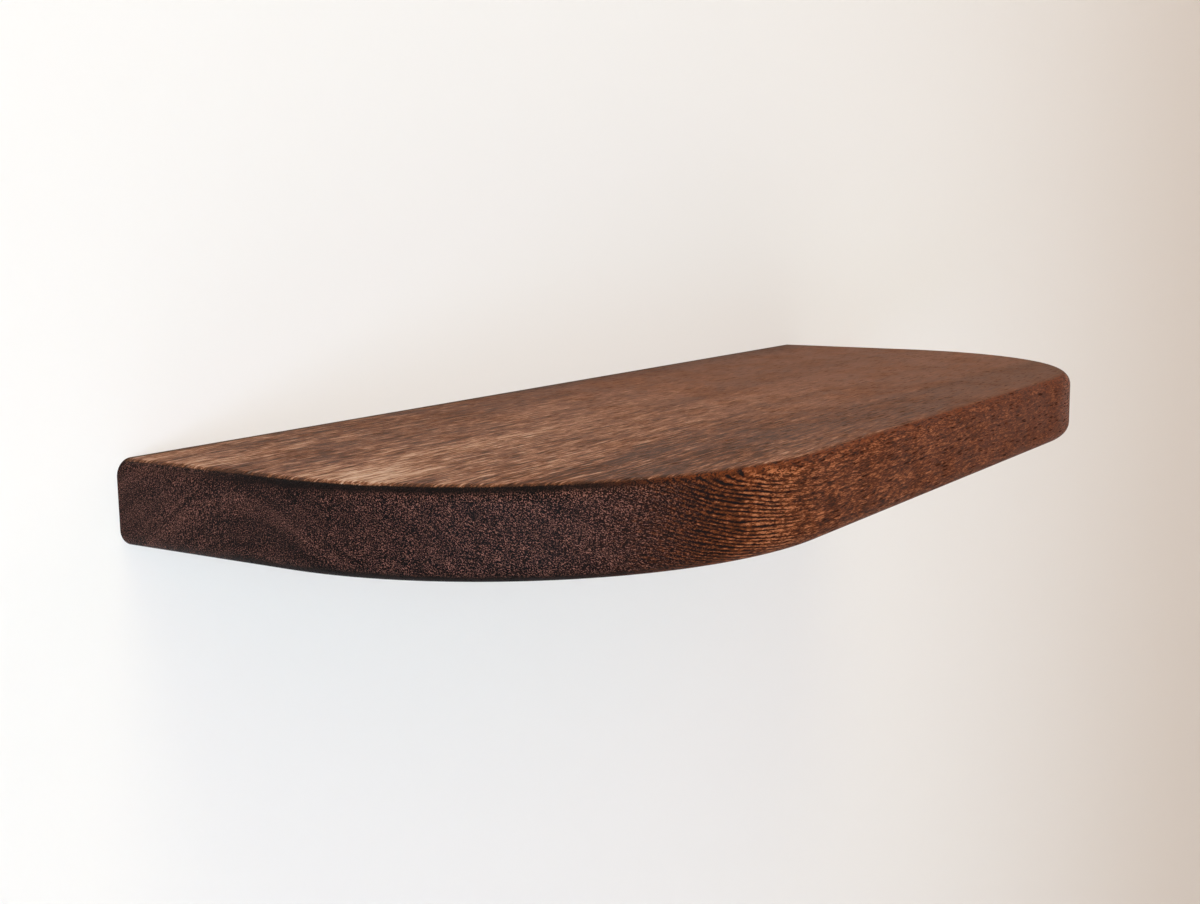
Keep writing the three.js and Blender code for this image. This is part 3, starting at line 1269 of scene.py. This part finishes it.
@dataclass
class WoodScrews(Screw):
    """The screws that hold the bar on the wall, with cross recesses."""

    name, node, slot, finish = "wood_screw_", "wall_screw_", "wall_screw_zinc", YELLOW_ZINC
    facing = Facing.ROOM
    spins = dict(zip(HOLES, (-0.5, -1.25, 0.5, 1.25)))
    diameter: float = 5 * MM
    core_diameter: float = 3.2 * MM
    neck_diameter: float = 3.7 * MM
    neck_length: float = 16 * MM
    head_diameter: float = 9.5 * MM
    length: float = 50 * MM
    pitch: float = 2.8 * MM
    tip_length: float = 6 * MM
    tip_diameter: float = 0.4 * MM
    crest_share: float = 0.4
    recess_width: float = 5 * MM
    recess_slot: float = 1.1 * MM
    recess_depth: float = 2.6 * MM
    floor_share: float = 0.35
    mouth_share: float = 0.5

    def drive(self) -> Thing:
        """Makes the cutter of a cross recess whose wings draw in towards the bottom.

        Returns:
            The cutter.
        """
        wide, slot, depth = self.recess_width, self.recess_slot, self.recess_depth
        flare = (self.mouth_share - self.floor_share) * CUT_OVERRUN / depth
        wings = []
        for turn in (0, math.pi / 2):
            wing = block("wing", (-wide, -slot, -depth), (wide, slot, 2 * CUT_OVERRUN))
            for vertex in wing.data.vertices:
                vertex.co.x *= self.floor_share if vertex.co.z < 0 else self.mouth_share + flare
                vertex.co.y /= 2
            wing.data.transform(Matrix.Rotation(turn, 4, "Z"))
            wings.append(wing)
        return combine(*wings, Joining.JOIN)


@dataclass
class WallPlugs(Part):
    """The split nylon plugs. The profile of a rib is how deep it is cut by how far along it that is."""

    name, node, slot, finish = "plug_", "wall_plug_", "plug_nylon", MouldedNylon()
    facing = Facing.ROOM
    spins = dict.fromkeys(HOLES, 0.0)
    bore_radius: float = 2.8 * MM
    outer_radius: float = 4 * MM
    nose_radius: float = 3.4 * MM
    length: float = 40 * MM
    neck_length: float = 9 * MM
    nose_length: float = 4 * MM
    rib_height: float = 0.5 * MM
    rib_count: int = 6
    rib_profile: tuple[Pair, ...] = ((0, 0.15), (1, 0.24), (1, 0.35))
    slit: float = 1.4 * MM
    fin_width: float = 1 * MM
    fin_height: float = 0.7 * MM
    facets: int = 40

    def build(self) -> Thing:
        """Turns the ribbed body, joins the fins, and cuts the bore and the slit.

        Returns:
            The finished mesh, with its mouth at z = 0.
        """
        outer, inner = self.outer_radius, self.bore_radius / 2
        rib = (self.length - self.neck_length - self.nose_length) / self.rib_count
        rings = [(inner, 0), (outer, 0), (outer, -self.neck_length)]
        for index in range(self.rib_count):
            for cut, share in self.rib_profile:
                rings.append((outer - self.rib_height * cut, -self.neck_length - rib * (index + share)))
        rings += [(outer - self.rib_height, self.nose_length - self.length)]
        rings += [(self.nose_radius, -self.length), (inner, -self.length)]
        reach, half, slit = outer + self.fin_height, self.fin_width / 2, self.slit / 2
        fins = block("fins", (-reach, -half, -self.neck_length), (reach, half, -self.fin_width))
        plug = combine(turned("plug", rings, self.facets), fins, Joining.JOIN)
        bore = [(self.bore_radius, CUT_OVERRUN), (self.bore_radius, -self.length - CUT_OVERRUN)]
        plug = combine(plug, turned("bore", bore, self.facets))
        low = (-slit, -reach, self.nose_length / 2 - self.length)
        return smooth(combine(plug, block("slit", low, (slit, reach, -self.neck_length - self.fin_width))))


@dataclass
class Camera:
    """The camera, where the outline of the board in the photograph puts it."""

    place: Triple = (-0.5891, -0.4198, 0.0946)
    heading: float = math.radians(56.4)
    dip: float = math.radians(8.76)
    roll: float = math.radians(-0.79)
    lens: float = 46.8
    sensor: float = 36.0
    nearest: float = 0.01

    def set_up(self) -> None:
        """Adds the camera and makes it the scene's."""
        level = Vector((math.cos(self.heading), -math.sin(self.heading), 0))
        ahead = Vector((math.sin(self.heading), math.cos(self.heading), 0))
        forward = ahead * math.cos(self.dip) - Vector((0, 0, math.sin(self.dip)))
        up = level.cross(forward)
        right = level * math.cos(self.roll) + up * math.sin(self.roll)
        up = up * math.cos(self.roll) - level * math.sin(self.roll)
        data = bpy.data.cameras.new("camera")
        data.lens = self.lens
        data.sensor_width = self.sensor
        data.clip_start = self.nearest
        camera = bpy.data.objects.new("camera", data)
        turn = Matrix((right, up, -forward)).transposed().to_4x4()
        camera.matrix_world = Matrix.Translation(self.place) @ turn
        bpy.context.scene.collection.objects.link(camera)
        bpy.context.scene.camera = camera


def seen_rays(tree: Tree) -> Value:
    """Tells the rays that show a backdrop, straight or in gloss or glass, from those that light the shelf."""
    path = tree.add("LightPath")
    return (path + path.out("Is Glossy Ray") + path.out("Is Transmission Ray")).clamped()


def backdrop(shader: Value, glow_shade: Feed, share: float) -> Value:
    """Evens out a surface by a share of a glow colour, for the rays that show it as a backdrop."""
    glow = shader.tree.add("Emission", {"Color": glow_shade, "Strength": 1.0})
    return shader.tree.add("MixShader", {0: seen_rays(shader.tree) * share, 1: shader, 2: glow})


@dataclass(frozen=True)
class PaintedWall(Finish):
    """Matt white wall paint that is seen from the room only, so that the fittings show from behind."""

    name: str = "wall_paint"
    shade: str = "F4F1EE"
    # Painted light falloff: the backdrop glow darkens and warms from this colour to the next along the reach.
    painted_falloff_near_shade: str = "FBF9F8"
    painted_falloff_far_shade: str = "E0CEBE"
    painted_falloff_reach: Pair = (-150.0, 1350.0)
    glow_share: float = 0.45
    stipple: Pattern = Pattern((0.5, 0.5, 0.5), 3.0)

    def skin(self, place: Value, effects: Effects) -> Skin:
        """Stipples the paint."""
        stipple = place.clouds(self.stipple).relief(0.08, 0.2)
        return {"Base Color": self.shade, "Roughness": 0.75, "Specular IOR Level": 0.2, "Normal": stipple}

    def shown(self, shader: Value, place: Value) -> Value:
        """Evens the wall out as a backdrop with a painted falloff of light, and clears it away from behind.

        Args:
            shader: The shader of the paint.
            place: The place in millimetres.

        Returns:
            The shader that shows.
        """
        # Painted light falloff: the glow darkens and warms to the right along the wall.
        far = place.axes()[0].ramp(*self.painted_falloff_reach)
        lit = backdrop(shader, far.mix(self.painted_falloff_near_shade, self.painted_falloff_far_shade), self.glow_share)
        behind = place.tree.add("NewGeometry").out("Backfacing")
        return place.tree.add("MixShader", {0: behind, 1: lit, 2: place.tree.add("BsdfTransparent")})


@dataclass(frozen=True)
class PaleFloor(Finish):
    """A plain, pale and matt floor."""

    name: str = "pale_floor"
    shade: str = "ECE9E5"
    glow_shade: str = "EDEBE8"
    glow_share: float = 0.75

    def skin(self, place: Value, effects: Effects) -> Skin:
        """Gives the plain colour."""
        return {"Base Color": self.shade, "Roughness": 0.8}

    def shown(self, shader: Value, place: Value) -> Value:
        """Evens the floor out as a backdrop."""
        return backdrop(shader, self.glow_shade, self.glow_share)


@dataclass
class Sheet:
    """A flat backdrop that is turned up about X."""

    name: str
    centre: Triple
    size: Pair
    turn: float
    finish: Finish

    def set_up(self, effects: Effects) -> None:
        """Lays the sheet out.

        Args:
            effects: The shared node groups.
        """
        select_nothing()
        bpy.ops.mesh.primitive_plane_add(size=1, location=self.centre, rotation=(self.turn, 0, 0))
        piece = bpy.context.object
        piece.name = self.name
        piece.scale = (*self.size, 1)
        bpy.ops.object.transform_apply(location=True, rotation=True, scale=True)
        piece.data.materials.append(self.finish.make(effects))


@dataclass
class Lamp:
    """A soft lamp."""

    name: str
    place: Triple
    target: Triple
    size: float
    watts: float
    shade: str

    def data(self) -> bpy.types.Light:
        """Makes a square sheet of light.

        Returns:
            The light.
        """
        data = bpy.data.lights.new(self.name, "AREA")
        data.size = self.size
        return data

    def set_up(self) -> None:
        """Hangs the lamp and points it at its target."""
        data = self.data()
        data.energy = self.watts
        data.color = paint(self.shade)[:3]
        lamp = bpy.data.objects.new(self.name, data)
        turn = (Vector(self.target) - Vector(self.place)).to_track_quat("-Z", "Y")
        lamp.matrix_world = Matrix.Translation(self.place) @ turn.to_matrix().to_4x4()
        bpy.context.scene.collection.objects.link(lamp)


class FarLamp(Lamp):
    """A lamp so far away that its rays run side by side. Its size is the angle that it fills."""

    def data(self) -> bpy.types.Light:
        """Makes a distant light.

        Returns:
            The light.
        """
        data = bpy.data.lights.new(self.name, "SUN")
        data.angle = self.size
        return data


@dataclass
class Studio:
    """The wall, the floor, the sky and the lamps, with places, targets, sizes, watts and colours."""

    sheets: tuple[Sheet, ...] = (
        Sheet("wall", (0.6, -0.5 * MM, 0.4), (6.0, 3.2), math.pi / 2, PaintedWall()),
        Sheet("floor", (0.0, 0.0, -1.2), (8.0, 8.0), 0.0, PaleFloor()),
    )
    sky_shade: str = "FFFFFF"
    sky_strength: float = 0.02
    backdrop_strength: float = 0.85
    lamps: tuple[Lamp, ...] = (
        FarLamp("ceiling_spot", (0.0, -0.4, 0.92), (0.0, 0.0, 0.0), math.radians(3.0), 0.06, "FFB27A"),
        Lamp("ceiling_lamp", (-0.4, -1.0, 1.7), (0.0, 0.0, 0.2), 1.0, 14.2, "FFF6CC"),
        Lamp("room_lamp", (-1.5, -2.7, 1.3), (0.0, 0.0, 0.0), 2.4, 31.0, "FFD4C2"),
        Lamp("right_window", (1.4, -2.6, 1.3), (0.2, 0.0, 0.0), 2.4, 15.5, "FFD2C2"),
        Lamp("left_window", (-2.6, -2.6, 0.15), (0.0, 0.0, 0.0), 1.8, 73.0, "D0F6FF"),
        Lamp("side_window", (-2.2, -0.9, 0.5), (-0.2, 0.0, 0.2), 1.0, 9.0, "CCEEFF"),
        Lamp("low_window", (-1.68, -1.0, -0.3), (-0.1, -0.05, 0.0), 0.45, 10.0, "CCD4FF"),
        Lamp("lamp_behind", (0.9, 2.2, 1.1), (0.0, 0.0, 0.0), 1.6, 55.0, "FFF8F0"),
        Lamp("low_lamp_behind", (-1.4, 1.9, -0.7), (0.0, 0.0, 0.0), 1.2, 26.0, "F4F8FF"),
    )

    def sky(self) -> None:
        """Lights the scene evenly, and shows a pale backdrop to the camera and in reflections."""
        world = bpy.data.worlds.new("sky")
        world.use_nodes = True
        tree = Tree(world.node_tree)
        light, far = (
            tree.add("Background", {"Color": self.sky_shade, "Strength": strength})
            for strength in (self.sky_strength, self.backdrop_strength)
        )
        tree.node("OutputWorld", {"Surface": tree.add("MixShader", {0: seen_rays(tree), 1: light, 2: far})})
        bpy.context.scene.world = world

    def set_up(self, effects: Effects) -> None:
        """Puts up the backdrops, the sky and the lamps.

        Args:
            effects: The shared node groups.
        """
        for sheet in self.sheets:
            sheet.set_up(effects)
        self.sky()
        for lamp in self.lamps:
            lamp.set_up()
        log.info("The wall, the floor and %d lamps are up", len(self.lamps))


def main() -> None:
    """Builds the camera, the stage and every piece of the shelf."""
    logging.basicConfig(level=logging.INFO, format="%(name)s: %(message)s")
    bpy.context.scene.view_settings.view_transform = "Standard"
    effects = Effects()
    Camera().set_up()
    Studio().set_up(effects)
    for part in (Board(), WallBar(), SupportRods(), MachineScrews(), WoodScrews(), WallPlugs()):
        part.dress(effects)


if __name__ == "__main__":
    main()
